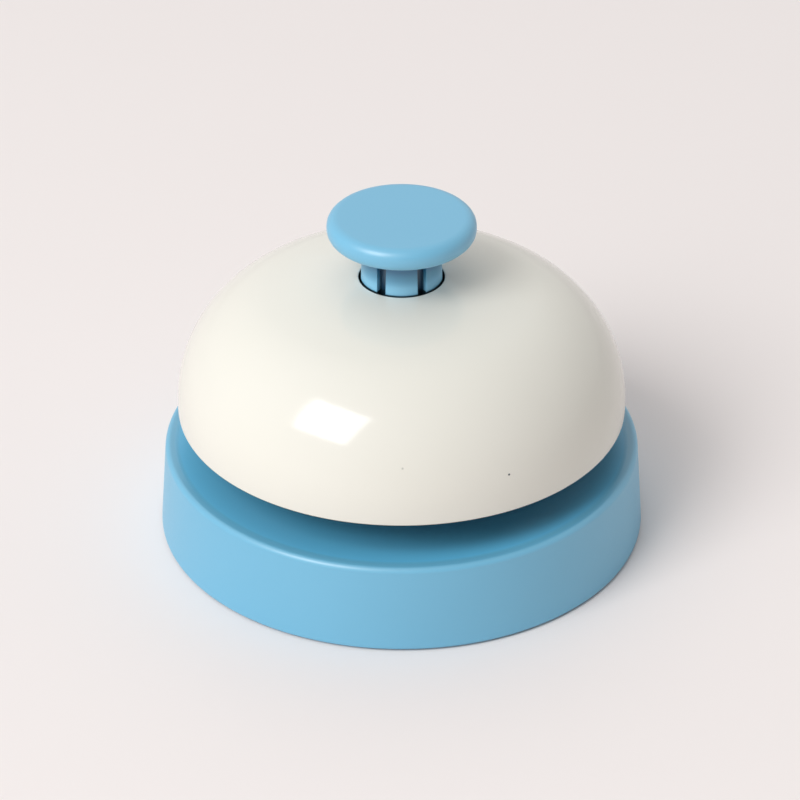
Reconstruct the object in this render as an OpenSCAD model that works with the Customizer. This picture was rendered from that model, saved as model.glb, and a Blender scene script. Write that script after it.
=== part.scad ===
// Pushbutton counter bell: a dished plastic base, a painted steel bell on a central pillar, and a
// sprung button whose pin rocks a striker lever up against the inside of the bell.
// Millimetres. +Z is up, the origin is on the table under the bell's axis, the striker lies at +Y.

/* [Base] */
// Outside diameter of the base at its lower edge
base_d = 84.2; // [80:0.1:92]
// Height of the base, from its lower edge to the crest of its rim
base_h = 15.5; // [14.5:0.1:17]
// How far the wall leans in between the lower edge and the rim
wall_lean = 1; // [0.6:0.1:1.6]
// Thickness of the wall
wall_t = 2.8; // [2.5:0.1:3.4]
// Radius of the rounded rim
rim_round = 1.5; // [1.2:0.1:1.8]
// How far the deck lies below the crest of the rim
deck_drop = 1; // [0.8:0.1:1.6]
// Thickness of the deck
deck_t = 2.2; // [1.8:0.1:2.6]
// Radius of the hollow that joins the deck to the rim
dish_round = 12; // [9:0.5:16]

/* [Bottom cover and feet] */
// Thickness of the bottom cover
cover_t = 2; // [1.6:0.1:2.4]
// How far the cover lies inside the lower edge of the base
cover_recess = 0.5; // [0.3:0.1:0.8]
// Thickness of the lip of the base around the cover
cover_lip = 1.5; // [1.2:0.1:1.9]
// Gap between the cover and the lip
cover_gap = 0.2; // [0.1:0.05:0.4]
// Diameter of a rubber foot
foot_d = 10; // [8:0.5:12]
// How far the feet stand below the lower edge of the base
foot_proud = 0.3; // [0.2:0.1:0.8]
// Depth of the pocket that a foot sits in
foot_pocket = 0.7; // [0.4:0.1:1]
// Distance of a foot's centre from the edge of the base
foot_inset = 11.5; // [10:0.5:14]
// Number of feet, and of cover screws between them
foot_count = 3; // [3:1:5]

/* [Screws] */
// Core diameter of the self-tapping screws
screw_d = 2.4; // [2:0.1:2.8]
// Diameter of a screw head
screw_head_d = 5.4; // [4.8:0.1:6]
// Height of a screw head
screw_head_h = 1.7; // [1.4:0.1:2]
// Width of the cross slot in a screw head
screw_slot = 0.8; // [0.6:0.1:1]
// Distance of a cover screw from the edge of the base
screw_inset = 9.5; // [9:0.5:12]
// Distance of a flange screw from the bell's axis
flange_screw_r = 14.4; // [14:0.1:16]

/* [Bell] */
// Outside diameter of the bell at its lower edge
bell_d = 77.2; // [72:0.2:80]
// Height of the bell's lower edge above the rim of the base
bell_gap = 6.9; // [6:0.1:9]
// Height of the straight skirt above the lower edge
bell_skirt = 1.8; // [0.5:0.1:3]
// Radius of the shoulder
shoulder_r = 21.5; // [20:0.5:23]
// Radius of the crown
crown_r = 85; // [75:1:100]
// Thickness of the sheet
sheet_t = 0.9; // [0.7:0.05:1.1]
// Diameter of the hole for the button
hole_d = 14.6; // [14.4:0.1:16]
// Length of the neck drawn down from the hole
neck_h = 4.6; // [4:0.1:5.4]
// Radius of the edge of the hole
neck_round = 0.2; // [0.1:0.05:0.4]

/* [Pillar] */
// Thickness of the pillar's tube
pillar_t = 2.7; // [2.2:0.1:3.2]
// Thickness of the web that the spring stands on
web_t = 2; // [1.6:0.1:2.6]
// Width of the flange outside the tube
flange_w = 7; // [6.8:0.1:8]
// Thickness of the flange
flange_t = 3; // [2.4:0.1:4]
// Height of the bosses around the flange screws
boss_h = 8; // [6.5:0.1:9]
// Thickness of a cheek that carries the pivot
cheek_t = 2.4; // [2:0.1:3]
// Radius of a cheek around the pivot
cheek_r = 4; // [3.6:0.1:4.6]
// Thickness of the rubber washer under the bell, at its edge
washer_t = 1; // [0.6:0.1:1.6]

/* [Button] */
// Diameter of the button's cap
cap_d = 25.3; // [22:0.1:28]
// Thickness of the cap
cap_t = 4; // [3.8:0.1:5]
// Radius of the cap's edge
cap_round = 1.8; // [1.2:0.1:1.9]
// Height of the cap's underside above the hole in the bell
cap_rise = 7.5; // [6.5:0.1:9]
// Travel of the button
travel = 4; // [3:0.1:4.4]
// Number of fingers in the button's stem
finger_count = 6; // [4:1:8]
// Thickness of a finger
finger_t = 1.45; // [1.2:0.05:1.6]
// Gap between the fingers and the hole in the bell
finger_gap = 0.35; // [0.3:0.05:0.5]
// How much slimmer the stem is under the cap than at the hole
finger_lean = 0.2; // [0:0.05:0.4]
// Width of the slots between the fingers
finger_slot = 1.6; // [1.2:0.1:2]
// Thickness of the sleeve that closes the slots from inside
sleeve_t = 0.7; // [0.5:0.1:0.8]
// How far the sleeve reaches below the hole in the bell
sleeve_drop = 2; // [1.6:0.1:3]
// How far the hook on each finger reaches under the neck
hook = 0.5; // [0.3:0.05:0.55]
// Height of the hook
hook_h = 2.1; // [1.6:0.1:2.6]
// Diameter of the steel pin inside the stem
pin_d = 3.2; // [2.6:0.1:3.6]
// Depth of the spring's seat inside the cap
seat_depth = 1.6; // [1:0.1:2]
// Length of the boss that holds the pin
pin_boss_h = 6; // [4:0.5:8]

/* [Spring] */
// Mean diameter of the return spring
spring_d = 8.2; // [7.8:0.1:8.6]
// Diameter of the spring's wire
spring_wire = 0.7; // [0.5:0.05:0.8]
// Number of turns
spring_turns = 8; // [6:1:9]

/* [Striker] */
// Distance of the pivot from the bell's axis
pivot_y = 13.5; // [13.2:0.1:14.4]
// Diameter of the pivot pin
pivot_d = 2.5; // [2:0.1:2.8]
// Diameter of the bush that turns on the pivot pin
bush_d = 4.4; // [4:0.1:4.6]
// Slope of the lever at rest, in degrees
lever_tilt = 8; // [6:0.5:10]
// Thickness of the lever
lever_t = 1.4; // [1.1:0.1:1.6]
// Width of the lever
lever_w = 5.4; // [4.6:0.1:6]
// Gap between the lever and a cheek
lever_gap = 1.5; // [1:0.1:2]
// Diameter of the striker's head
head_d = 8; // [7:0.1:8.4]
// Gap between the head and the bell with the button held down
strike_gap = 0.4; // [0.35:0.05:0.8]
// Thickness of a retaining clip on the pivot pin
clip_t = 0.8; // [0.5:0.1:1.2]

/* [Clearances] */
// Gap between a moving piece and its stop
play = 0.3; // [0.25:0.05:0.4]
// Running clearance of a pin in its hole, on the radius
run_gap = 0.08; // [0.04:0.01:0.1]
// Gap around a screw in its clearance hole, on the radius
screw_gap = 0.3; // [0.2:0.05:0.4]
// Gap under a soft washer's curved face
soft_gap = 0.02; // [0.01:0.01:0.05]

/* [Hidden] */
$fn = 144;
over = 1;

plastic_blue = [0.45, 0.69, 0.84];
ivory_paint = [0.95, 0.93, 0.88];
bright_steel = [0.72, 0.73, 0.75];
dark_rubber = [0.16, 0.16, 0.17];
brass = [0.80, 0.66, 0.36];

// Base: rim, deck and dish
base_r = base_d / 2;
rim_r = base_r - wall_lean;
foot_z = foot_proud;
crest_z = foot_z + base_h;
edge_z = crest_z - rim_round;
deck_z = crest_z - deck_drop;
under_z = deck_z - deck_t;
dish_bite = 0.05;
dish_z = deck_z + dish_round;
dish_span = dish_round + rim_round - dish_bite;
dish_run = sqrt(pow(dish_span, 2) - pow(dish_z - edge_z, 2));
dish_r = rim_r - rim_round - dish_run;
touch_r = dish_r + dish_round * dish_run / dish_span;
touch_z = dish_z - dish_round * (dish_z - edge_z) / dish_span;

// Cover, feet and screws
cover_z = foot_z + cover_recess;
ledge_z = cover_z + cover_t;
cover_r = base_r - cover_lip - cover_gap;
foot_r = base_r - foot_inset;
screw_r = screw_d / 2;
cover_screw_r = base_r - screw_inset;
head_room = 0.3;
head_seat_z = cover_z + screw_head_h + head_room;
pad_t = 1.8;
pad_z = head_seat_z + pad_t;
screw_wall = 1.9;
pilot_roof = 1.2;

// Bell: a shoulder arc and a crown arc, the crown sunk a hair so that the two arcs cross
bell_r = bell_d / 2;
bell_z = crest_z + bell_gap;
shoulder_y = bell_r - shoulder_r;
shoulder_z = bell_z + bell_skirt;
crown_sink = 0.01;
crown_z = shoulder_z - sqrt(pow(crown_r - shoulder_r, 2) - pow(shoulder_y, 2)) - crown_sink;
crown_edge = crown_r * shoulder_y / (crown_r - shoulder_r);
skirt_lean = 0.02;
crown_fn = 720;
hole_r = hole_d / 2;
hole_z = crown_z + sqrt(pow(crown_r, 2) - pow(hole_r, 2));
neck_z = hole_z - neck_h;
neck_r = hole_r + sheet_t;

// Button stack, from the cap down to the tip of the pin
cap_r = cap_d / 2;
cap_z = hole_z + cap_rise;
cap_top = cap_z + cap_t;
stem_r = hole_r - finger_gap;
finger_r = stem_r - finger_t;
hook_z = neck_z - play;
finger_z = hook_z - hook_h;
seat_z = cap_z + seat_depth;
sleeve_r = finger_r - sleeve_t;
sleeve_z = hole_z - sleeve_drop;
sleeve_bite = 0.2;
pin_r = pin_d / 2;
pin_boss_t = 1.1;
pin_cover = 0.6;

// Pillar, under the bell and around the button's fingers
bore_r = neck_r;
pillar_r = bore_r + pillar_t;
flange_r = pillar_r + flange_w;
washer_z = crown_z + sqrt(pow(crown_r - sheet_t, 2) - pow(pillar_r, 2)) - washer_t;
web_top = finger_z - travel - play;
web_z = web_top - web_t;
flange_screw_count = 3;
spigot_t = 1.5;
spigot_gap = 0.1;

// Striker: its pivot, the slope of its lever with the button down, and the reach of its head
tip_drop = 1.1;
tip_z = web_z - tip_drop;
contact_z = tip_z - play;
bush_r = bush_d / 2;
strip_gap = 0.4;
strip_z = bush_r + strip_gap;
strip_top = strip_z + lever_t;
pivot_z = contact_z - strip_top / cos(lever_tilt) - pivot_y * tan(lever_tilt);
fall = contact_z - travel - pivot_z;
press_tilt = atan2(pivot_y, fall) - acos(strip_top / norm([pivot_y, fall]));
swing = lever_tilt + press_tilt;
cheek_x = lever_w / 2 + lever_gap;
bush_gap = 0.15;
pivot_r = pivot_d / 2;
ear_r = 3.4;
ear_room = 0.6;
head_r = head_d / 2;
head_flat = 2.1;
head_z = strip_z - head_flat;
peen_r = 2.3;
peen_h = 0.7;
spigot_r = 1.5;
along = [cos(press_tilt), sin(press_tilt)];
aside = [-sin(press_tilt), cos(press_tilt)];
start = [pivot_y - shoulder_y, pivot_z - shoulder_z] + head_z * aside;
head_room_r = shoulder_r - sheet_t - strike_gap - head_r;
head_y = sqrt(pow(start * along, 2) - start * start + pow(head_room_r, 2)) - start * along;
echo(pivot_mm = [0, pivot_y, pivot_z], swing_deg = swing, ratio_rad_per_m = swing * PI / 180 / travel * 1000);
echo(cap_top = cap_top, bell_edge_z = bell_z, head_reach = head_y, hole_z = hole_z);

// Return spring: one wire of circular section along a helix
spring_rings = 8;
wire_sides = 6;
spring_z = web_top + spring_wire / 2;
spring_h = seat_z - web_top - spring_wire;
function coil_point(i) =
    let (a = 360 * i / spring_rings)
    [spring_d / 2 * cos(a), spring_d / 2 * sin(a), spring_z + spring_h * i / (spring_rings * spring_turns)];
function coil_ring(i) =
    let (a = 360 * i / spring_rings, rise = spring_h / spring_turns / (PI * spring_d))
    let (out = [cos(a), sin(a), 0], up = [sin(a) * rise, -cos(a) * rise, 1] / norm([rise, 1]))
    [for (k = [0 : wire_sides - 1])
        coil_point(i) + spring_wire / 2 * (cos(360 * k / wire_sides) * out + sin(360 * k / wire_sides) * up)];
coil_last = spring_rings * spring_turns;
coil_gap = min([for (i = [0 : coil_last], j = [i + spring_rings / 2 : coil_last])
    norm(coil_point(i) - coil_point(j))]) - spring_wire;
echo(spring_least_gap_mm = coil_gap);

// Quarter of a disc, in the quadrant that x and y name by their signs
module quarter_disc(r, x, y) {
    intersection() {
        circle(r = r);
        translate([x < 0 ? -r : 0, y < 0 ? -r : 0]) square(r);
    }
}

// Half section of a round plate with rounded edges
module plate_section(r, h, round) {
    square([r - round, h]);
    translate([0, round]) square([r, h - 2 * round]);
    translate([r - round, round]) quarter_disc(round, 1, -1);
    translate([r - round, h - round]) quarter_disc(round, 1, 1);
}

// Copies its child around the axis
module around(count, r, from) {
    for (i = [0 : count - 1]) rotate(from + 360 * i / count) translate([r, 0, 0]) children();
}

// Pan-head screw that points up from the seat of its head
module screw(length) {
    difference() {
        translate([0, 0, -screw_head_h]) cylinder(d = screw_head_d, h = screw_head_h);
        for (turn = [0, 90]) rotate(turn)
            translate([-screw_head_d / 3, -screw_slot / 2, -screw_head_h - over])
                cube([screw_head_d / 1.5, screw_slot, over + screw_head_h / 2]);
    }
    cylinder(r = screw_r, h = length - screw_r);
    translate([0, 0, length - screw_r]) cylinder(r1 = screw_r, r2 = screw_r / 3, h = screw_r);
}

// Half section of the space above the deck, grown downwards and outwards
module dish_section(grow) {
    translate([0, deck_z - grow]) square([dish_r, dish_round + grow]);
    translate([dish_r, dish_z]) quarter_disc(dish_round + grow, 1, -1);
}

// Half section of the base, with the rebate for its cover
module base_section() {
    difference() {
        union() {
            polygon([[0, foot_z], [base_r, foot_z], [rim_r, edge_z], [rim_r - rim_round, edge_z],
                     [touch_r, touch_z], [0, touch_z]]);
            translate([rim_r - rim_round, edge_z]) circle(r = rim_round);
        }
        dish_section(0);
        difference() {
            polygon([[0, ledge_z], [base_r - wall_t, ledge_z], [rim_r - wall_t, edge_z], [0, edge_z]]);
            dish_section(deck_t);
        }
        translate([0, foot_z - over]) square([base_r - cover_lip, ledge_z - foot_z + over]);
    }
}

module base_shell() {
    boss_z = deck_z - deck_t / 4;
    color(plastic_blue) difference() {
        union() {
            rotate_extrude() base_section();
            around(foot_count, cover_screw_r, 90)
                translate([0, 0, pad_z]) cylinder(r = screw_r + screw_wall, h = boss_z - pad_z);
        }
        around(foot_count, cover_screw_r, 90)
            translate([0, 0, pad_z - over]) cylinder(r = screw_r, h = deck_z - pilot_roof - pad_z + over);
        translate([0, 0, under_z - over])
            cylinder(r = bore_r + spigot_t + spigot_gap, h = deck_t + 2 * over);
        around(flange_screw_count, flange_screw_r, -90)
            translate([0, 0, under_z - over]) cylinder(r = screw_r + screw_gap, h = deck_t + 2 * over);
    }
}

module bottom_cover() {
    color(plastic_blue) difference() {
        union() {
            translate([0, 0, cover_z]) cylinder(r = cover_r, h = cover_t);
            around(foot_count, cover_screw_r, 90)
                translate([0, 0, cover_z]) cylinder(r = screw_head_d / 2 + screw_wall, h = pad_z - cover_z);
        }
        around(foot_count, cover_screw_r, 90) {
            translate([0, 0, cover_z - over])
                cylinder(r = screw_head_d / 2 + screw_gap, h = head_seat_z - cover_z + over);
            translate([0, 0, cover_z]) cylinder(r = screw_r + screw_gap, h = pad_z);
        }
        around(foot_count, foot_r, -90)
            translate([0, 0, cover_z - over]) cylinder(d = foot_d + 2 * cover_gap, h = foot_pocket + over);
    }
}

module cover_screws() {
    color(bright_steel) around(foot_count, cover_screw_r, 90)
        translate([0, 0, head_seat_z]) screw(deck_z - pilot_roof - head_seat_z - head_room);
}

module foot_pads() {
    pad_h = cover_z + foot_pocket;
    color(dark_rubber) around(foot_count, foot_r, -90)
        rotate_extrude() {
            translate([0, foot_proud]) square([foot_d / 2, pad_h - foot_proud]);
            square([foot_d / 2 - foot_proud, foot_proud]);
            translate([foot_d / 2 - foot_proud, foot_proud]) quarter_disc(foot_proud, 1, -1);
        }
}

// Side view of a cheek, from the flange up to the pivot
module cheek_outline() {
    translate([pivot_y, pivot_z]) circle(r = cheek_r);
    polygon([[bore_r, deck_z], [pillar_r + flange_w / 2, deck_z], [pivot_y + cheek_r, pivot_z],
             [pivot_y, pivot_z], [pivot_y, pivot_z + cheek_r], [bore_r, pivot_z + cheek_r]]);
}

module pillar() {
    window_z = pivot_z - ear_r - ear_room;
    color(plastic_blue) difference() {
        union() {
            translate([0, 0, deck_z]) cylinder(r = pillar_r, h = washer_z - deck_z);
            translate([0, 0, under_z]) cylinder(r = bore_r + spigot_t, h = deck_t + over);
            translate([0, 0, deck_z]) cylinder(r = flange_r, h = flange_t);
            translate([0, 0, deck_z + flange_t])
                cylinder(r1 = pillar_r + flange_t / 2, r2 = pillar_r, h = flange_t);
            around(flange_screw_count, flange_screw_r, -90)
                translate([0, 0, deck_z]) cylinder(r = screw_r + screw_wall, h = boss_h);
            for (side = [-1, 1]) translate([side * (cheek_x + cheek_t / 2) - cheek_t / 2, 0, 0])
                rotate([90, 0, 90]) linear_extrude(cheek_t) cheek_outline();
        }
        translate([0, 0, web_top]) cylinder(r = bore_r, h = washer_z);
        translate([0, 0, under_z - over]) cylinder(r = bore_r, h = web_z - under_z + over);
        cylinder(r = pin_r + run_gap, h = washer_z);
        translate([-cheek_x, 0, window_z]) cube([2 * cheek_x, flange_r, web_z - window_z]);
        translate([0, pivot_y, pivot_z]) rotate([0, 90, 0])
            cylinder(r = pivot_r, h = 4 * cheek_x, center = true);
        around(flange_screw_count, flange_screw_r, -90)
            translate([0, 0, deck_z - over]) cylinder(r = screw_r, h = boss_h - pilot_roof + over);
    }
}

module flange_screws() {
    color(bright_steel) around(flange_screw_count, flange_screw_r, -90)
        translate([0, 0, under_z]) screw(deck_t + boss_h - pilot_roof - head_room);
}

module bell_washer() {
    color(dark_rubber) rotate_extrude() difference() {
        translate([neck_r + cover_gap, washer_z]) square([pillar_r - neck_r - cover_gap, 3 * washer_t]);
        difference() {
            translate([0, washer_z]) square([2 * pillar_r, 4 * washer_t]);
            translate([0, crown_z]) circle(r = crown_r - sheet_t - soft_gap, $fn = crown_fn);
        }
    }
}

// Half outline of the bell, filled, with its wall drawn in by inset
module bell_outline(inset) {
    intersection() {
        translate([0, crown_z]) circle(r = crown_r - inset, $fn = crown_fn);
        union() {
            translate([0, bell_z - inset]) square([crown_edge, hole_z]);
            translate([shoulder_y, shoulder_z]) circle(r = shoulder_r - inset);
            polygon([[0, bell_z - inset], [bell_r - inset, bell_z - inset],
                     [bell_r - inset - 2 * bell_skirt * skirt_lean, shoulder_z + bell_skirt],
                     [0, shoulder_z + bell_skirt]]);
        }
    }
}

// Half section of the bell, with the neck that is drawn down at the hole
module bell_section() {
    difference() {
        union() {
            intersection() {
                difference() {
                    bell_outline(0);
                    bell_outline(sheet_t);
                }
                translate([hole_r, bell_z]) square([bell_r, hole_z]);
            }
            intersection() {
                translate([hole_r, neck_z]) square([sheet_t, neck_h]);
                bell_outline(sheet_t / 2);
            }
        }
        difference() {
            translate([hole_r - neck_round, hole_z - neck_round]) square([2 * neck_round, 2 * neck_round]);
            translate([hole_r + neck_round, hole_z - neck_round]) circle(r = neck_round);
        }
    }
}

module bell_dome() {
    color(ivory_paint) rotate_extrude() bell_section();
}

module button() {
    color(plastic_blue) {
        difference() {
            union() {
                translate([0, 0, cap_z]) rotate_extrude() plate_section(cap_r, cap_t, cap_round);
                difference() {
                    union() {
                        translate([0, 0, finger_z]) cylinder(r = stem_r, h = hole_z - finger_z);
                        translate([0, 0, hole_z])
                            cylinder(r1 = stem_r, r2 = stem_r - finger_lean, h = cap_z - hole_z);
                        translate([0, 0, finger_z + hook_h / 3]) cylinder(r = hole_r + hook, h = hook_h * 2 / 3);
                        translate([0, 0, finger_z])
                            cylinder(r1 = stem_r - hook, r2 = hole_r + hook, h = hook_h / 3);
                    }
                    around(finger_count, 0, -90 + 180 / finger_count)
                        translate([0, -finger_slot / 2, finger_z - over])
                            cube([hole_d, finger_slot, cap_z - finger_z + over]);
                }
                translate([0, 0, sleeve_z]) cylinder(r = finger_r + sleeve_bite, h = cap_z + over - sleeve_z);
            }
            translate([0, 0, finger_z - over]) cylinder(r = finger_r, h = sleeve_z - finger_z + over);
            translate([0, 0, sleeve_z - over]) cylinder(r = sleeve_r, h = seat_z - sleeve_z + over);
        }
        difference() {
            translate([0, 0, seat_z - pin_boss_h]) cylinder(r = pin_r + pin_boss_t, h = pin_boss_h);
            translate([0, 0, seat_z - pin_boss_h - over]) cylinder(r = pin_r, h = pin_boss_h - pin_cover + over);
        }
    }
}

module plunger_pin() {
    color(bright_steel) {
        translate([0, 0, tip_z + pin_r]) sphere(r = pin_r);
        translate([0, 0, tip_z + pin_r]) cylinder(r = pin_r, h = seat_z - pin_cover - tip_z - pin_r);
    }
}

module return_spring() {
    rings = [for (i = [0 : coil_last]) coil_ring(i)];
    points = [for (ring = rings) each ring];
    sides = [for (i = [0 : coil_last - 1], k = [0 : wire_sides - 1])
        let (a = i * wire_sides + k, b = i * wire_sides + (k + 1) % wire_sides)
        each [[a, a + wire_sides, b], [b, a + wire_sides, b + wire_sides]]];
    start_cap = [for (k = [1 : wire_sides - 2]) [0, k, k + 1]];
    last = coil_last * wire_sides;
    end_cap = [for (k = [1 : wire_sides - 2]) [last, last + k + 1, last + k]];
    color(bright_steel) polyhedron(points, concat(sides, start_cap, end_cap));
}

// Places its child in the lever's own frame: the pivot at the origin, the strip level
module on_lever() {
    translate([0, pivot_y, pivot_z]) rotate([-lever_tilt, 0, 0]) children();
}

module striker_lever() {
    inner_y = -pivot_y / cos(lever_tilt);
    color(bright_steel) on_lever() difference() {
        union() {
            translate([0, 0, strip_z]) linear_extrude(lever_t) {
                translate([-lever_w / 2, inner_y]) square([lever_w, head_y - inner_y]);
                translate([0, inner_y]) circle(d = lever_w);
                translate([0, head_y]) circle(d = lever_w);
            }
            for (side = [-1, 1]) translate([side * (lever_w - lever_t) / 2 - lever_t / 2, 0, 0])
                rotate([90, 0, 90]) linear_extrude(lever_t) {
                    circle(r = ear_r);
                    translate([-ear_r, 0]) square([2 * ear_r, strip_z + lever_t / 2]);
                }
        }
        rotate([0, 90, 0]) cylinder(r = bush_r, h = 2 * lever_w, center = true);
        translate([0, head_y, 0]) cylinder(r = spigot_r, h = 2 * strip_top);
    }
}

module striker_head() {
    color(bright_steel) on_lever() translate([0, head_y, 0]) {
        intersection() {
            translate([0, 0, head_z]) sphere(r = head_r);
            translate([0, 0, strip_z - head_d]) cylinder(r = head_d, h = head_d);
        }
        cylinder(r = spigot_r, h = strip_top);
        translate([0, 0, strip_top]) cylinder(r1 = peen_r, r2 = peen_r - peen_h / 2, h = peen_h);
    }
}

module pivot_bush() {
    color(brass) on_lever() rotate([0, 90, 0]) difference() {
        cylinder(r = bush_r, h = 2 * (cheek_x - bush_gap), center = true);
        cylinder(r = pivot_r + run_gap, h = 4 * cheek_x, center = true);
    }
}

module pivot_pin() {
    pin_l = 2 * (cheek_x + cheek_t + 2 * clip_t);
    color(bright_steel) translate([0, pivot_y, pivot_z]) rotate([0, 90, 0])
        cylinder(r = pivot_r, h = pin_l, center = true);
}

module pivot_clips() {
    color(bright_steel) for (side = [-1, 1])
        translate([side * (cheek_x + cheek_t + clip_t / 2), pivot_y, pivot_z]) rotate([0, 90, 0])
            difference() {
                cylinder(r = 2 * pivot_r + clip_t / 2, h = clip_t, center = true);
                cylinder(r = pivot_r, h = 2 * clip_t, center = true);
            }
}

base_shell();
bottom_cover();
cover_screws();
foot_pads();
pillar();
flange_screws();
bell_washer();
bell_dome();
button();
plunger_pin();
return_spring();
striker_lever();
striker_head();
pivot_bush();
pivot_pin();
pivot_clips();
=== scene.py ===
# %% [markdown]
# # A pushbutton counter bell
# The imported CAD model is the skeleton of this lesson: every node is already in its place, in metres, with
# +Z up. Here the pieces that show are modelled again with Blender's own tools, with the rounded edges that
# moulded and spun parts have, and every piece gets the finish of its real material.

# %% Load the frame
import math

import bpy
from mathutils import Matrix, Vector


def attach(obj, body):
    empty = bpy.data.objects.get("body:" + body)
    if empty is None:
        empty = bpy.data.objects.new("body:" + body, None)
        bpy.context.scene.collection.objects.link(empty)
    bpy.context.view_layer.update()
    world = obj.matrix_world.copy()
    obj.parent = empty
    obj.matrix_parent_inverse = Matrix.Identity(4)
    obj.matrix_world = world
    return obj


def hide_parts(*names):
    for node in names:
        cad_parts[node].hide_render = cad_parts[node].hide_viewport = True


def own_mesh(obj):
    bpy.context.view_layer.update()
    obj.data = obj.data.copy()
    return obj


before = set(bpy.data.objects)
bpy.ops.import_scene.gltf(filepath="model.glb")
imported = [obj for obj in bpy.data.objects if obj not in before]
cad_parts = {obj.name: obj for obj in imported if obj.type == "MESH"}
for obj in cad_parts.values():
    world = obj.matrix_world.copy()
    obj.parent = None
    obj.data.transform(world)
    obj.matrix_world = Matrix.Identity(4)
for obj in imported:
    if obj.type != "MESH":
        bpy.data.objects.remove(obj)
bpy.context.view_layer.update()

# %% [markdown]
# ## The camera
# The photograph looks down at the bell from a little over half a metre, through a long lens that keeps
# the circles close to true ellipses. A camera that is placed by its height angle and its distance is easy
# to compare with the photograph: the angle sets how open the ellipses are, the distance how much the far
# side shrinks.

# %% Camera
MM = 0.001
VIEW_ANGLE = math.radians(31.93)
VIEW_DISTANCE = 640 * MM
VIEW_AIM = Vector((-0.28, 0, 23.18)) * MM
FRAME_PIXELS = 800
FOCAL_PIXELS = 3700.5

towards_camera = Vector((0, -math.cos(VIEW_ANGLE), math.sin(VIEW_ANGLE)))
bpy.ops.object.camera_add(
    location=VIEW_AIM + towards_camera * VIEW_DISTANCE, rotation=(math.pi / 2 - VIEW_ANGLE, 0, 0)
)
camera = bpy.context.object
camera.name = "camera"
camera.data.lens = camera.data.sensor_width * FOCAL_PIXELS / FRAME_PIXELS
camera.data.clip_start = 10 * MM
bpy.context.scene.camera = camera
print("lens in mm:", round(camera.data.lens, 1))

# %% [markdown]
# ## Colours and nodes
# Colours are picked as sRGB hex values, as a paint chart gives them, but a shader works with linear light,
# so one function converts them. Another small function adds a node with its settings and links, which
# keeps each material readable from top to bottom.

# %% Colour and node helpers
def colour(hex_value):
    """Linear red, green, blue and alpha of an sRGB hex colour."""
    levels = [int(hex_value[i : i + 2], 16) / 255 for i in (1, 3, 5)]
    return [v / 12.92 if v <= 0.04045 else ((v + 0.055) / 1.055) ** 2.4 for v in levels] + [1.0]


def add_node(tree, kind, inputs=None, **settings):
    """Adds a node. An input is a plain value, a socket, or a node whose first output in use is linked."""
    made = tree.nodes.new(kind)
    for name, value in settings.items():
        setattr(made, name, value)
    for name, value in (inputs or {}).items():
        named = [s for s in made.inputs if s.enabled and s.name == name]
        socket = named[0] if named else made.inputs[name]
        if isinstance(value, bpy.types.Node):
            value = next(s for s in value.outputs if s.enabled)
        if isinstance(value, bpy.types.NodeSocket):
            tree.links.new(value, socket)
        else:
            socket.default_value = value
    return made


def per_mm(size):
    """Scale of a texture whose features are about size millimetres wide."""
    return 1 / (size * MM)


def start_material(name):
    """An empty material with its node tree and an output that waits for a shader."""
    material = bpy.data.materials.new(name)
    material.use_nodes = True
    material.node_tree.nodes.clear()
    return material, material.node_tree


def end_material(tree, shader):
    add_node(tree, "ShaderNodeOutputMaterial", {"Surface": shader})


print("light blue in linear light:", [round(v, 3) for v in colour("#7DBCE0")])

# %% [markdown]
# ## Floor and light
# A product table has one large soft box to the front left, which draws the bright four-sided window on the
# bell. The room does the rest: it glows around the soft box and behind the bell, is paler above and to the
# right, and is dark elsewhere, so that the round bell is shaded from side to side. A glow is brightest in
# one direction and falls off with a power of the cosine. The camera and mirror images see a plain pale
# room in place of the glows.

# %% Floor
bpy.ops.object.select_all(action="DESELECT")
bpy.ops.mesh.primitive_plane_add(size=8)
floor = bpy.context.object
floor.name = "floor"
paper, tree = start_material("matt_warm_white_paper")
place = add_node(tree, "ShaderNodeTexCoord").outputs["Object"]
cloud = add_node(tree, "ShaderNodeTexNoise", {"Vector": place, "Scale": per_mm(60), "Detail": 2.0})
tone = add_node(tree, "ShaderNodeMix", {"Factor": cloud, "A": colour("#F3ECEA"), "B": colour("#F4EDEB")},
                data_type="RGBA")
paper_shader = add_node(tree, "ShaderNodeBsdfPrincipled", {
    "Base Color": tone, "Roughness": 0.9, "Specular IOR Level": 0.15})
end_material(tree, paper_shader)
floor.data.materials.append(paper)
print("floor:", [round(x, 2) for x in floor.dimensions])

# %% Light
def direction(azimuth, height):
    """Unit vector towards a place in the room. Azimuth 0 is in front, and grows to the right."""
    a, h = math.radians(azimuth), math.radians(height)
    return Vector((math.sin(a) * math.cos(h), -math.cos(a) * math.cos(h), math.sin(h)))


def soft_box(name, azimuth, height, distance, size, watts):
    """A square lamp that faces the bell."""
    way = direction(azimuth, height)
    bpy.ops.object.light_add(type="AREA", location=Vector((0, 0, 30 * MM)) + way * distance)
    lamp = bpy.context.object
    lamp.name = name
    lamp.rotation_euler = way.to_track_quat("Z", "Y").to_euler()
    lamp.data.size = size
    lamp.data.energy = watts
    return lamp


key_lamp = soft_box("key_soft_box", azimuth=-46, height=43, distance=1.8, size=0.9, watts=16.5)
print("lamp:", key_lamp.name, "watts:", key_lamp.data.energy)

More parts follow.
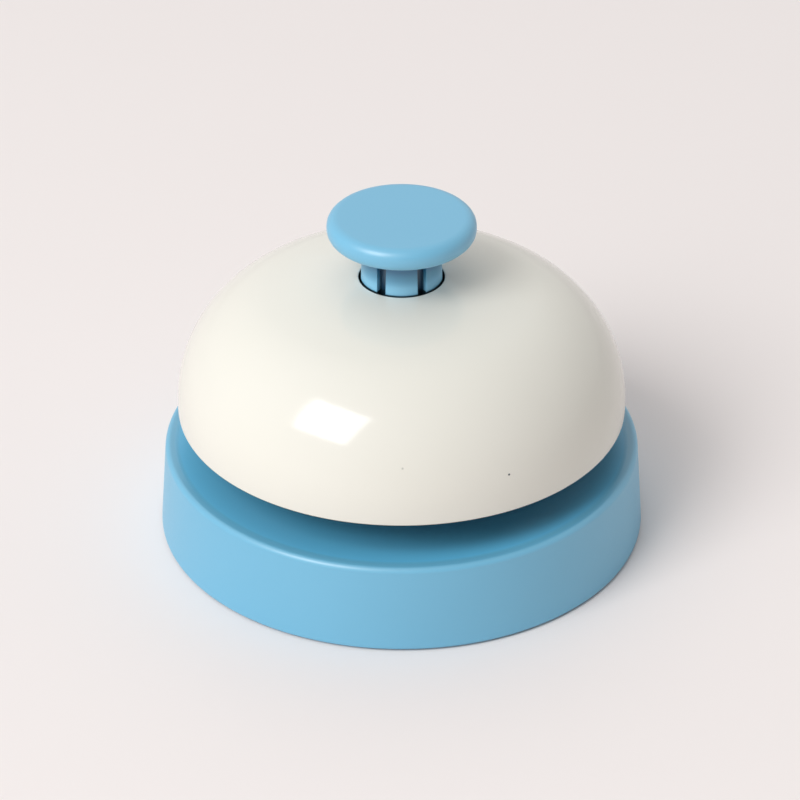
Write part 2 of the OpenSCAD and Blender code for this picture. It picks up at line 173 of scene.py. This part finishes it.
# %% Room
# Azimuth and height in degrees, and strength
ROOM_GLOWS = [(-45, 42, 1.42), (180, 42, 0.95), (90, 8, 0.66), (0, 90, 0.5), (135, 8, 0.5), (-135, 25, 0.34),
              (-40, 8, 0.42)]
GLOW_POWER = 6.0
room = bpy.data.worlds.new("pale_room")
bpy.context.scene.world = room
room.use_nodes = True
tree = room.node_tree
tree.nodes.clear()
look = add_node(tree, "ShaderNodeTexCoord").outputs["Generated"]
glow = 0.0
for azimuth, height, strength in ROOM_GLOWS:
    facing = add_node(tree, "ShaderNodeVectorMath", {0: look, 1: direction(azimuth, height)},
                      operation="DOT_PRODUCT")
    front = add_node(tree, "ShaderNodeMath", {0: facing, 1: 0.0}, operation="MAXIMUM")
    lobe = add_node(tree, "ShaderNodeMath", {0: front, 1: GLOW_POWER}, operation="POWER")
    glow = add_node(tree, "ShaderNodeMath", {0: lobe, 1: strength, 2: glow}, operation="MULTIPLY_ADD")
lit_room = add_node(tree, "ShaderNodeBackground", {"Color": colour("#FFFFFF"), "Strength": glow})
seen_room = add_node(tree, "ShaderNodeBackground", {"Color": colour("#EDE8E5"), "Strength": 1.0})
ray = add_node(tree, "ShaderNodeLightPath")
sees = ray.outputs["Is Camera Ray"]
for kind in ("Is Glossy Ray", "Is Transmission Ray"):
    sees = add_node(tree, "ShaderNodeMath", {0: sees, 1: ray.outputs[kind]}, operation="MAXIMUM")
either = add_node(tree, "ShaderNodeMixShader", {"Fac": sees, 1: lit_room, 2: seen_room})
add_node(tree, "ShaderNodeOutputWorld", {"Surface": either})
bpy.context.scene.view_settings.view_transform = "Standard"
print("glows in the room:", len(ROOM_GLOWS))

# %% [markdown]
# ## Finishes
# The base and the button are moulded in one light blue ABS. A polished mould leaves a satin skin with a
# very fine grain, and the colour drifts a little where the plastic flowed. Light and shade are also painted
# into the colour: painted light makes the deck under the bell a brighter, stronger blue, a painted highlight
# makes the stem paler just above the hole, and painted shade darkens the stem under the cap, in its slots
# and in a thin ring at the hole.

# %% Moulded ABS, light blue
def satin_abs(name, skin, deep, painted_places=()):
    """Moulded ABS: a dense colour, a soft sheen, and a grain of fine pores. The grain is drawn at 0.5 mm,
    coarser than the real one, so that it shows. A painted place holds painted light or painted shade: a
    colour within a radius of the axis and between two heights, with a soft edge."""
    material, tree = start_material(name)
    place = add_node(tree, "ShaderNodeTexCoord").outputs["Object"]
    flow = add_node(tree, "ShaderNodeTexNoise", {"Vector": place, "Scale": per_mm(22), "Detail": 3.0})
    tone = add_node(tree, "ShaderNodeMix", {"Factor": flow, "A": colour(skin), "B": colour(deep)},
                    data_type="RGBA")
    aside = add_node(tree, "ShaderNodeVectorMath", {0: place, 1: (1, 1, 0)}, operation="MULTIPLY")
    reach = add_node(tree, "ShaderNodeVectorMath", {0: aside}, operation="LENGTH")
    height = add_node(tree, "ShaderNodeSeparateXYZ", {"Vector": place}).outputs["Z"]
    # Each painted place lays painted light or painted shade over the plastic's colour
    for speck_and_painted_light_tone, radius, low, high, edge in painted_places:
        inside = 1.0
        for measure, limit, way in ((reach, radius, -1), (height, low, 1), (height, high, -1)):
            outer, inner = (limit - way * edge) * MM, (limit + way * edge) * MM
            step = add_node(tree, "ShaderNodeMapRange", {
                "Value": measure, "From Min": outer, "From Max": inner})
            inside = add_node(tree, "ShaderNodeMath", {0: inside, 1: step}, operation="MULTIPLY")
        tone = add_node(tree, "ShaderNodeMix", {"Factor": inside, "A": tone, "B": colour(speck_and_painted_light_tone)},
                        data_type="RGBA")
    grain = add_node(tree, "ShaderNodeTexNoise", {"Vector": place, "Scale": per_mm(0.5), "Detail": 4.0})
    sheen = add_node(tree, "ShaderNodeMapRange", {"Value": grain, "To Min": 0.32, "To Max": 0.44})
    pores = add_node(tree, "ShaderNodeBump", {"Height": grain, "Strength": 0.12, "Distance": 0.02 * MM})
    skin_shader = add_node(tree, "ShaderNodeBsdfPrincipled", {
        "Base Color": tone, "Roughness": sheen, "IOR": 1.54, "Specular IOR Level": 1.0,
        "Normal": pores})
    end_material(tree, skin_shader)
    return material


blue_abs = satin_abs("moulded_abs_light_blue", "#6FB9DB", "#6BB5D7")
# Colour, radius, two heights and softness of the edge, in millimetres
# Painted light: the deck under the bell, where the bell shades it, is painted a brighter, stronger blue
DECK_PAINTED_LIGHT = ("#6ACCF8", 39.0, 13.0, 18.0, 0.5)
# Painted highlight: the stem just above the hole is painted paler, for light thrown up from the bell
STEM_PAINTED_HIGHLIGHT = ("#8ACEEF", 8.7, 46.0, 49.8, 1.0)
# Painted shadow: the cap's shadow on the upper stem is painted a deeper blue
NECK_PAINTED_SHADOW = ("#1F7099", 8.7, 51.0, 57.0, 1.5)
# Painted shade: the slots between the fingers are painted dark
SLOT_PAINTED_SHADE = ("#163F5A", 6.0, 40.0, 55.2, 0.25)
# Painted shade: a thin dark ring on the stem where it goes into the hole
HOLE_PAINTED_SHADE = ("#0E2531", 8.7, 46.6, 48.05, 0.12)
# The base's colour carries the painted light on its deck
base_abs_with_painted_light = satin_abs("moulded_abs_light_blue_base_painted_light", "#6CB8DA", "#68B4D6", [DECK_PAINTED_LIGHT])
# The button's colour carries the painted highlight and the painted shade of the stem
STEM_PAINTED_LIGHT_AND_SHADE = [STEM_PAINTED_HIGHLIGHT, NECK_PAINTED_SHADOW, SLOT_PAINTED_SHADE, HOLE_PAINTED_SHADE]
stem_abs_with_painted_light_and_shade = satin_abs("moulded_abs_light_blue_button_painted_light_and_shade", "#6FB9DB", "#6BB5D7", STEM_PAINTED_LIGHT_AND_SHADE)
print("made", blue_abs.name, base_abs_with_painted_light.name, stem_abs_with_painted_light_and_shade.name)

# %% [markdown]
# The bell is steel sheet with a stoved ivory enamel. The paint levels out to a glossy skin with a slight
# orange peel, which bends the edges of what it mirrors. Two specks are caught in the paint in front.

# %% Ivory stove enamel
def stove_enamel(name, skin, deep, specks):
    """Glossy paint on sheet steel: a clear mirror of the lamps over a warm white, with an orange peel of
    about 3 mm and a few specks."""
    material, tree = start_material(name)
    place = add_node(tree, "ShaderNodeTexCoord").outputs["Object"]
    drift = add_node(tree, "ShaderNodeTexNoise", {"Vector": place, "Scale": per_mm(18), "Detail": 2.0})
    tone = add_node(tree, "ShaderNodeMix", {"Factor": drift, "A": colour(skin), "B": colour(deep)},
                    data_type="RGBA")
    for spot, radius, speck_and_painted_light_tone in specks:
        reach = add_node(tree, "ShaderNodeVectorMath", {0: place, 1: Vector(spot) * MM}, operation="DISTANCE")
        dot = add_node(tree, "ShaderNodeMapRange", {
            "Value": reach, "From Min": radius * MM, "From Max": radius * 0.6 * MM})
        tone = add_node(tree, "ShaderNodeMix", {"Factor": dot, "A": tone, "B": colour(speck_and_painted_light_tone)},
                        data_type="RGBA")
    peel = add_node(tree, "ShaderNodeTexNoise", {"Vector": place, "Scale": per_mm(3), "Detail": 2.0})
    waves = add_node(tree, "ShaderNodeBump", {"Height": peel, "Strength": 0.25, "Distance": 0.03 * MM})
    gloss = add_node(tree, "ShaderNodeMapRange", {"Value": drift, "To Min": 0.1, "To Max": 0.16})
    skin_shader = add_node(tree, "ShaderNodeBsdfPrincipled", {
        "Base Color": tone, "Roughness": gloss, "IOR": 1.52,
        "Normal": waves})
    end_material(tree, skin_shader)
    return material


# Place and radius in millimetres, and colour
PAINT_SPECKS = [((17.65, -33.61, 29.69), 0.22, "#3A4048"), ((0.14, -36.865, 32.96), 0.22, "#C9C8BE")]
ivory_enamel = stove_enamel("ivory_stove_enamel", "#EAE8DF", "#E8E6DC", PAINT_SPECKS)
print("made", ivory_enamel.name)

# %% [markdown]
# The small works are metal: zinc-plated steel for the striker, the pins and the screws, drawn wire for
# the spring and the clips, and brass for the bush. A metal takes its look from how it was worked, so each
# has the lines or the clouding of its own process. The feet and the washer are moulded rubber, dull and
# faintly dusty.

# %% Metals and rubber
def worked_metal(name, bright, dull, mark, stretch, smooth, rough):
    """Bare metal with marks of about mark millimetres, stretched along an axis by the tool that made it."""
    material, tree = start_material(name)
    place = add_node(tree, "ShaderNodeTexCoord").outputs["Object"]
    drawn = add_node(tree, "ShaderNodeMapping", {"Vector": place, "Scale": stretch})
    marks = add_node(tree, "ShaderNodeTexNoise", {
        "Vector": drawn, "Scale": per_mm(mark), "Detail": 5.0})
    tone = add_node(tree, "ShaderNodeMix", {"Factor": marks, "A": colour(bright), "B": colour(dull)},
                    data_type="RGBA")
    sheen = add_node(tree, "ShaderNodeMapRange", {"Value": marks, "To Min": smooth, "To Max": rough})
    lines = add_node(tree, "ShaderNodeBump", {"Height": marks, "Strength": 0.15, "Distance": 0.02 * MM})
    metal = add_node(tree, "ShaderNodeBsdfPrincipled", {
        "Base Color": tone, "Metallic": 1.0, "Roughness": sheen,
        "Normal": lines})
    end_material(tree, metal)
    return material


def dull_skin(name, skin, dust):
    """Rubber or primer: almost no mirror, with a bloom of dust about 2 mm wide."""
    material, tree = start_material(name)
    place = add_node(tree, "ShaderNodeTexCoord").outputs["Object"]
    bloom = add_node(tree, "ShaderNodeTexNoise", {"Vector": place, "Scale": per_mm(2), "Detail": 6.0})
    tone = add_node(tree, "ShaderNodeMix", {"Factor": bloom, "A": colour(skin), "B": colour(dust)},
                    data_type="RGBA")
    crumb = add_node(tree, "ShaderNodeBump", {"Height": bloom, "Strength": 0.3, "Distance": 0.03 * MM})
    shader = add_node(tree, "ShaderNodeBsdfPrincipled", {
        "Base Color": tone, "Roughness": 0.75, "IOR": 1.52, "Normal": crumb})
    end_material(tree, shader)
    return material


zinc_steel = worked_metal("zinc_plated_steel", "#CDD0D3", "#AEB2B6", mark=1.2, stretch=(1, 0.25, 1),
                          smooth=0.24, rough=0.4)
spring_wire = worked_metal("drawn_spring_steel", "#B7B9BC", "#8F9296", mark=0.4, stretch=(1, 1, 1),
                           smooth=0.2, rough=0.36)
turned_brass = worked_metal("turned_brass", "#D9BC74", "#B9974F", mark=0.3, stretch=(0.1, 1, 1),
                            smooth=0.2, rough=0.34)
black_rubber = dull_skin("moulded_black_rubber", "#26272A", "#3A3B3D")
print("made", [m.name for m in (zinc_steel, spring_wire, turned_brass, black_rubber)])

# %% [markdown]
# ## Turned forms
# The base, the bell and the cap of the button are all round, so each starts as half a section: a point is
# extruded along its outline, and the outline is spun about the axis. The outline is given by its corners,
# each with the radius of its rounding, and by arcs for the large curves.

# %% Outlines
def arc(centre, radius, start, stop, steps):
    """Points (r, z) in millimetres along a circle, from start to stop degrees."""
    angles = [math.radians(start + (stop - start) * i / steps) for i in range(steps + 1)]
    return [(centre[0] + radius * math.cos(a), centre[1] + radius * math.sin(a)) for a in angles]


def rounded_corner(before, corner, after, radius, steps=5):
    """Points along the rounding of a corner."""
    corner, before, after = Vector(corner), Vector(before), Vector(after)
    one, two = (before - corner).normalized(), (after - corner).normalized()
    half = one.angle(two) / 2
    centre = corner + (one + two).normalized() * (radius / math.sin(half))
    first, last = [corner + side * (radius / math.tan(half)) - centre for side in (one, two)]
    turn = math.atan2(first.x * last.y - first.y * last.x, first.dot(last))
    start = math.degrees(math.atan2(first.y, first.x))
    return arc(centre, radius, start, start + math.degrees(turn), steps)


def outline(corners, closed=True, hold=0.25, long_run=2.0):
    """Points of a section. A corner (r, z, radius) is rounded, and a long straight run gets a point close to
    each end, which keeps it flat when it is shaded smooth."""
    points = []
    for i, corner in enumerate(corners):
        if len(corner) == 3:
            before, after = corners[i - 1][:2], corners[(i + 1) % len(corners)][:2]
            points += rounded_corner(before, corner[:2], after, corner[2])
        else:
            points.append(corner)
    if closed:
        points.append(points[0])
    drawn = points[:1]
    for start, end in zip(points, points[1:]):
        way = Vector(end) - Vector(start)
        if way.length > long_run:
            step = way.normalized() * hold
            drawn += [tuple(Vector(start) + step), tuple(Vector(end) - step)]
        if way.length > 1e-4:
            drawn.append(end)
    return drawn


# %% Drawing and spinning
def draw_section(name, points):
    """Extrudes a point along a section in the plane y = 0, and stays in edit mode."""
    bpy.ops.object.select_all(action="DESELECT")
    bpy.ops.mesh.primitive_plane_add(size=MM)
    bpy.context.object.name = name
    bpy.ops.object.mode_set(mode="EDIT")
    bpy.ops.mesh.merge(type="CENTER")
    bpy.ops.transform.translate(value=(points[0][0] * MM, 0, points[0][1] * MM))
    for start, end in zip(points, points[1:]):
        step = ((end[0] - start[0]) * MM, 0, (end[1] - start[1]) * MM)
        bpy.ops.mesh.extrude_vertices_move(TRANSFORM_OT_translate={"value": step})
    return bpy.context.object


def close_up():
    """Merges doubles and points all faces outwards, in edit mode."""
    bpy.ops.mesh.select_all(action="SELECT")
    bpy.ops.mesh.remove_doubles(threshold=0.001 * MM)
    bpy.ops.mesh.normals_make_consistent(inside=False)


def spin_section(steps, angle=2 * math.pi):
    """Spins what is drawn about the upright axis, in edit mode."""
    bpy.ops.mesh.select_all(action="SELECT")
    bpy.ops.mesh.spin(steps=steps, angle=angle, center=(0, 0, 0), axis=(0, 0, 1))
    close_up()


def dress(piece, material, body, node, sharp=35):
    """Smooths a finished piece, gives it its material, and lets it ride in place of its CAD node."""
    bpy.ops.object.mode_set(mode="OBJECT")
    bpy.ops.object.select_all(action="DESELECT")
    piece.select_set(True)
    bpy.context.view_layer.objects.active = piece
    bpy.ops.object.shade_smooth_by_angle(angle=math.radians(sharp))
    piece.data.materials.clear()
    piece.data.materials.append(material)
    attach(piece, body)
    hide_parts(node)
    triangles = sum(len(face.vertices) - 2 for face in piece.data.polygons)
    print(piece.name, "triangles:", triangles, "size in mm:", [round(x / MM, 2) for x in piece.dimensions])


# %% [markdown]
# ## The base
# One moulding: a wall that leans in a little, a narrow rounded rim, and a deck that slopes gently down from
# it and then runs flat to the pillar. Its section is closed, because the wall has a thickness and a rebate
# for the bottom cover. Holes for the pillar's screws and bosses for the cover's screws are cut and added
# with booleans.

# %% Base section
DECK_Z, RIM_CENTRE, RIM_ROUND = 14.8, (40.065, 14.8), 1.0
DECK_FOOT, DECK_EDGE = (32.1, DECK_Z, 20.0), (39.2, 15.8, 3.0)
UNDER_CENTRE, UNDER_ROUND, UNDER_START, UNDER_Z = (34.635, 26.8), 14.2, -74.6, 12.6
SEAT_R, WALL_R, WALL_Z, WALL_LEAN = 9.8, 42.1, 0.3, 4.1
REBATE_R, REBATE_Z, WALL_IN = 40.6, 2.8, 39.3
base_section = outline(
    [(SEAT_R, DECK_Z, 0.15), DECK_FOOT, DECK_EDGE]
    + arc(RIM_CENTRE, RIM_ROUND, 90, WALL_LEAN, 16)
    + [(WALL_R, WALL_Z, 0.4), (REBATE_R, WALL_Z, 0.15), (REBATE_R, REBATE_Z), (WALL_IN, REBATE_Z)]
    + arc(UNDER_CENTRE, UNDER_ROUND, UNDER_START, -90, 8)
    + [(SEAT_R, UNDER_Z)]
)
base = draw_section("base_moulding", base_section)
spin_section(steps=192)
print("points in the section:", len(base_section))


# %% Booleans
def apply_boolean(piece, tool, operation):
    """Adds or cuts with a tool, which is then deleted."""
    bpy.ops.object.mode_set(mode="OBJECT")
    bpy.ops.object.select_all(action="DESELECT")
    bpy.context.view_layer.objects.active = piece
    bpy.ops.object.modifier_add(type="BOOLEAN")
    change = piece.modifiers[-1]
    change.object = tool
    change.operation = operation
    change.solver = "EXACT"
    bpy.ops.object.modifier_apply(modifier=change.name)
    bpy.data.objects.remove(tool, do_unlink=True)


def ring_of_rods(name, count, circle, start, radius, low, high):
    """Upright rods on a circle, as one tool."""
    bpy.ops.object.mode_set(mode="OBJECT")
    bpy.ops.object.select_all(action="DESELECT")
    rods = []
    for i in range(count):
        a = math.radians(start + 360 * i / count)
        spot = (circle * MM * math.cos(a), circle * MM * math.sin(a), (low + high) / 2 * MM)
        bpy.ops.mesh.primitive_cylinder_add(
            vertices=48, radius=radius * MM, depth=(high - low) * MM, location=spot)
        rods.append(bpy.context.object)
    for rod in rods:
        rod.select_set(True)
    bpy.ops.object.join()
    bpy.ops.object.transform_apply(location=True, rotation=True, scale=True)
    bpy.context.object.name = name
    return bpy.context.object


# %% Base bosses and holes
COVER_CIRCLE, COVER_START = 32.6, 90
PILLAR_CIRCLE, PILLAR_START = 14.4, -90
bosses = ring_of_rods("cover_bosses", 3, COVER_CIRCLE, COVER_START, radius=3.1, low=4.6, high=13.8)
apply_boolean(base, bosses, "UNION")
pilots = ring_of_rods("cover_pilots", 3, COVER_CIRCLE, COVER_START, radius=1.2, low=3.0, high=13.6)
apply_boolean(base, pilots, "DIFFERENCE")
holes = ring_of_rods("pillar_holes", 3, PILLAR_CIRCLE, PILLAR_START, radius=1.5, low=10.0, high=17.0)
apply_boolean(base, holes, "DIFFERENCE")
dress(base, base_abs_with_painted_light, "base", "base_shell")

# %% [markdown]
# ## The bell
# Spun from one disc of steel sheet: a nearly flat crown, a round shoulder and a short straight skirt. At
# the hole the sheet is drawn down into a neck, over a small radius, and the lower edge is eased so that
# it doesn't cut.

# %% Bell section
CROWN_Z, CROWN_R, SHEET = -36.664, 85.0, 0.9
CROWN_START, CROWN_START_INSIDE = 84.2, 83.4
SHOULDER_CENTRE, SHOULDER_R, SHOULDER_TOP = (17.1, 24.5), 21.5, 74.378
HOLE_R, HOLE_Z, NECK_Z, BELL_R, BELL_Z = 7.3, 48.02, 43.422, 38.6, 22.7
bell_section = outline(
    [(HOLE_R, NECK_Z, 0.15), (HOLE_R, HOLE_Z, 0.2)]
    + arc((0, CROWN_Z), CROWN_R, CROWN_START, SHOULDER_TOP, 12)
    + arc(SHOULDER_CENTRE, SHOULDER_R, SHOULDER_TOP, 0, 40)[1:]
    + [(BELL_R, BELL_Z, 0.35), (BELL_R - SHEET, BELL_Z, 0.35)]
    + arc(SHOULDER_CENTRE, SHOULDER_R - SHEET, 0, SHOULDER_TOP, 40)
    + arc((0, CROWN_Z), CROWN_R - SHEET, SHOULDER_TOP, CROWN_START_INSIDE, 12)[1:]
    + [(HOLE_R + SHEET, HOLE_Z - SHEET, 0.4), (HOLE_R + SHEET, NECK_Z, 0.15)]
)
bell = draw_section("spun_bell", bell_section)
spin_section(steps=192)
dress(bell, ivory_enamel, "base", "bell_dome", sharp=60)

# %% [markdown]
# The enamel is sprayed from outside. Inside and on its lower edge, the bell has only its primer, dull and
# dark, which is why the gap under it looks so deep. The faces that look towards the middle of the bell or
# turn down at the edge take that second finish.

# %% Inside of the bell
dark_primer = dull_skin("dark_grey_primer", "#303335", "#3C4042")
bell.data.materials.append(dark_primer)
middle = Vector((0, 0, BELL_Z)) * MM
bare = [face for face in bell.data.polygons
        if face.normal.dot(face.center - middle) < 0 or face.normal.z < -0.2]
for face in bare:
    face.material_index = 1
print("faces with primer:", len(bare), "of", len(bell.data.polygons))

# %% [markdown]
# ## The button
# One moulding again: a mushroom cap on six fingers. The cap is spun. A finger is a sixth of a spun ring,
# trimmed by two cuts that leave a parallel slot on each side, with its edges bevelled; the other five are
# copies turned about the axis. Then all are joined with booleans.

# %% Button cap
CAP_R, CAP_Z, CAP_TOP, SEAT_Z = 12.65, 55.5217, 59.5217, 57.1217
SLEEVE_Z, SLEEVE_OUT, SLEEVE_IN = 46.0217, 5.7, 4.8
SOCKET_OUT, SOCKET_IN, SOCKET_Z, SOCKET_TOP = 2.7, 1.6, 51.12, 56.52
cap_section = outline(
    [(0, CAP_TOP), (CAP_R, CAP_TOP, 1.8), (CAP_R, CAP_Z, 1.8), (SLEEVE_OUT, CAP_Z),
     (SLEEVE_OUT, SLEEVE_Z, 0.15), (SLEEVE_IN, SLEEVE_Z, 0.15), (SLEEVE_IN, SEAT_Z), (SOCKET_OUT, SEAT_Z),
     (SOCKET_OUT, SOCKET_Z, 0.2), (SOCKET_IN, SOCKET_Z), (SOCKET_IN, SOCKET_TOP), (0, SOCKET_TOP)],
    closed=False,
)
button = draw_section("push_button", cap_section)
spin_section(steps=160)
bpy.ops.object.mode_set(mode="OBJECT")
print("points in the section:", len(cap_section))

# %% Button fingers
FINGERS, SLOT = 6, 1.6
FINGER_IN, FINGER_OUT, FINGER_ROOT, FINGER_TOP, FINGER_BEND = 5.5, 6.95, 6.75, 56.0, 48.0217
HOOK_OUT, HOOK_TOP, HOOK_LOW, HOOK_TIP, TIP_Z = 7.8, 43.1217, 41.7217, 6.45, 41.0217
finger_section = outline(
    [(FINGER_ROOT, FINGER_TOP), (FINGER_OUT, FINGER_BEND), (FINGER_OUT, HOOK_TOP), (HOOK_OUT, HOOK_TOP),
     (HOOK_OUT, HOOK_LOW), (HOOK_TIP, TIP_Z), (FINGER_IN, TIP_Z), (FINGER_IN, FINGER_TOP)],
    long_run=100,
)


def make_finger():
    """One finger, a sixth of a turned ring between two slots, with its edges eased. A spin goes clockwise
    seen from above, so its angle is negative here."""
    finger = draw_section("finger", finger_section)
    spin_section(steps=24, angle=-2 * math.pi / FINGERS)
    for turn, side in ((0, 1), (2 * math.pi / FINGERS, -1)):
        across = Vector((-math.sin(turn), math.cos(turn), 0)) * side
        bpy.ops.mesh.select_all(action="SELECT")
        bpy.ops.mesh.bisect(plane_co=across * SLOT / 2 * MM, plane_no=across, use_fill=True, clear_inner=True)
    close_up()
    bpy.ops.object.mode_set(mode="OBJECT")
    bpy.ops.object.modifier_add(type="BEVEL")
    ease = finger.modifiers[-1]
    ease.width, ease.segments = 0.35 * MM, 4
    ease.limit_method, ease.angle_limit = "ANGLE", math.radians(35)
    bpy.ops.object.modifier_apply(modifier=ease.name)
    return finger


def turned_copies(piece, count):
    """The piece and its copies, turned about the upright axis, as one object."""
    copies = [piece]
    for i in range(1, count):
        bpy.ops.object.select_all(action="DESELECT")
        piece.select_set(True)
        bpy.context.view_layer.objects.active = piece
        bpy.ops.object.duplicate()
        copy = bpy.context.object
        copy.rotation_euler.z = 2 * math.pi * i / count
        bpy.ops.object.transform_apply(location=True, rotation=True, scale=True)
        copies.append(copy)
    for copy in copies:
        copy.select_set(True)
    bpy.context.view_layer.objects.active = piece
    bpy.ops.object.join()
    return piece


apply_boolean(button, turned_copies(make_finger(), FINGERS), "UNION")
dress(button, stem_abs_with_painted_light_and_shade, "button", "button")

# %% [markdown]
# ## The return spring
# A wire wound in eight turns between the pillar's web and the cap. A circle that is swept by the Screw
# modifier gives the wire its round section all the way.

# %% Return spring
WEB_TOP, WIRE, COIL_R, TURNS, PRESS = 36.7217, 0.7, 4.1, 8, 4.0
SPRING_LENGTH = SEAT_Z - WEB_TOP
bpy.ops.object.select_all(action="DESELECT")
bpy.ops.mesh.primitive_circle_add(vertices=12, radius=WIRE / 2 * MM, rotation=(math.pi / 2, 0, 0),
                                  location=(COIL_R * MM, 0, (WEB_TOP + WIRE / 2) * MM))
spring = bpy.context.object
spring.name = "wound_spring"
bpy.ops.object.transform_apply(location=True, rotation=True, scale=True)
bpy.ops.object.modifier_add(type="SCREW")
winding = spring.modifiers[-1]
winding.steps = winding.render_steps = 32
winding.iterations = TURNS
winding.screw_offset = (SPRING_LENGTH - WIRE) / TURNS * MM
bpy.ops.object.modifier_apply(modifier=winding.name)
bpy.ops.object.mode_set(mode="EDIT")
bpy.ops.mesh.select_all(action="SELECT")
bpy.ops.mesh.fill_holes(sides=0)
close_up()
dress(spring, spring_wire, "base", "return_spring", sharp=60)
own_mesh(spring)

# %% [markdown]
# ## Screws
# Self-tapping screws with pan heads hold the cover from below and the pillar from under the deck. One is
# spun for each length, its cross recess is cut with a tapered tool, and the others are copies.

# %% Screw
def cross_recess(depth, low):
    """A cross of two bars that narrow towards their tip, which points up."""
    span, width, taper = 3.4, 0.85, 0.62
    bars = []
    bpy.ops.object.mode_set(mode="OBJECT")
    bpy.ops.object.select_all(action="DESELECT")
    for turn in (0, math.pi / 2):
        bpy.ops.mesh.primitive_cube_add(size=MM, location=(0, 0, (low + depth / 2) * MM))
        bar = bpy.context.object
        bar.scale = (span, width, depth)
        bar.rotation_euler.z = turn
        bpy.ops.object.transform_apply(location=True, rotation=True, scale=True)
        bpy.ops.object.mode_set(mode="EDIT")
        bpy.ops.mesh.select_all(action="DESELECT")
        bpy.ops.object.mode_set(mode="OBJECT")
        for face in bar.data.polygons:
            face.select = face.normal.z > 0.9
        bpy.ops.object.mode_set(mode="EDIT")
        bpy.ops.transform.resize(value=(taper, taper, 1))
        bpy.ops.object.mode_set(mode="OBJECT")
        bars.append(bar)
    apply_boolean(bars[0], bars[1], "UNION")
    return bars[0]


def pan_head_screw(name, seat_z, length, circle, start):
    """A screw that points up from the seat of its head."""
    head, top, shank, recess, outside = 2.7, 1.7, 1.2, 1.9, 1.0
    section = outline(
        [(0, seat_z - top), (head, seat_z - top, 0.9), (head, seat_z, 0.15), (shank, seat_z),
         (shank, seat_z + length - shank), (0.4, seat_z + length, 0.1), (0, seat_z + length)],
        closed=False,
    )
    screw = draw_section(name, section)
    spin_section(steps=48)
    apply_boolean(screw, cross_recess(recess, seat_z - top - outside), "DIFFERENCE")
    angle = math.radians(start)
    screw.location = (circle * MM * math.cos(angle), circle * MM * math.sin(angle), 0)
    bpy.ops.object.select_all(action="DESELECT")
    screw.select_set(True)
    bpy.context.view_layer.objects.active = screw
    bpy.ops.object.transform_apply(location=True, rotation=True, scale=True)
    return turned_copies(screw, 3)


cover_set = pan_head_screw("cover_screw_set", REBATE_Z, 10.5, COVER_CIRCLE, COVER_START)
dress(cover_set, zinc_steel, "base", "cover_screws")
pillar_set = pan_head_screw("pillar_screw_set", UNDER_Z, 8.7, PILLAR_CIRCLE, PILLAR_START)
dress(pillar_set, zinc_steel, "base", "flange_screws")

# %% [markdown]
# ## The other pieces
# The pillar, the striker and the small pieces around them have their right shape in the CAD model, so they
# stay and only take their finish.

# %% Finishes of the CAD nodes
FINISHES = {
    "bottom_cover": blue_abs, "pillar": blue_abs, "foot_pads": black_rubber, "bell_washer": black_rubber,
    "plunger_pin": zinc_steel, "striker_lever": zinc_steel, "striker_head": zinc_steel,
    "pivot_bush": turned_brass, "pivot_pin": zinc_steel, "pivot_clips": spring_wire,
}
for name, material in FINISHES.items():
    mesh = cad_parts[name].data
    mesh.materials.clear()
    mesh.materials.append(material)
print("CAD nodes with a finish:", len(FINISHES))

# %% [markdown]
# ## Last step
# Nothing is left selected at the end.

# %% Deselect
bpy.ops.object.select_all(action="DESELECT")
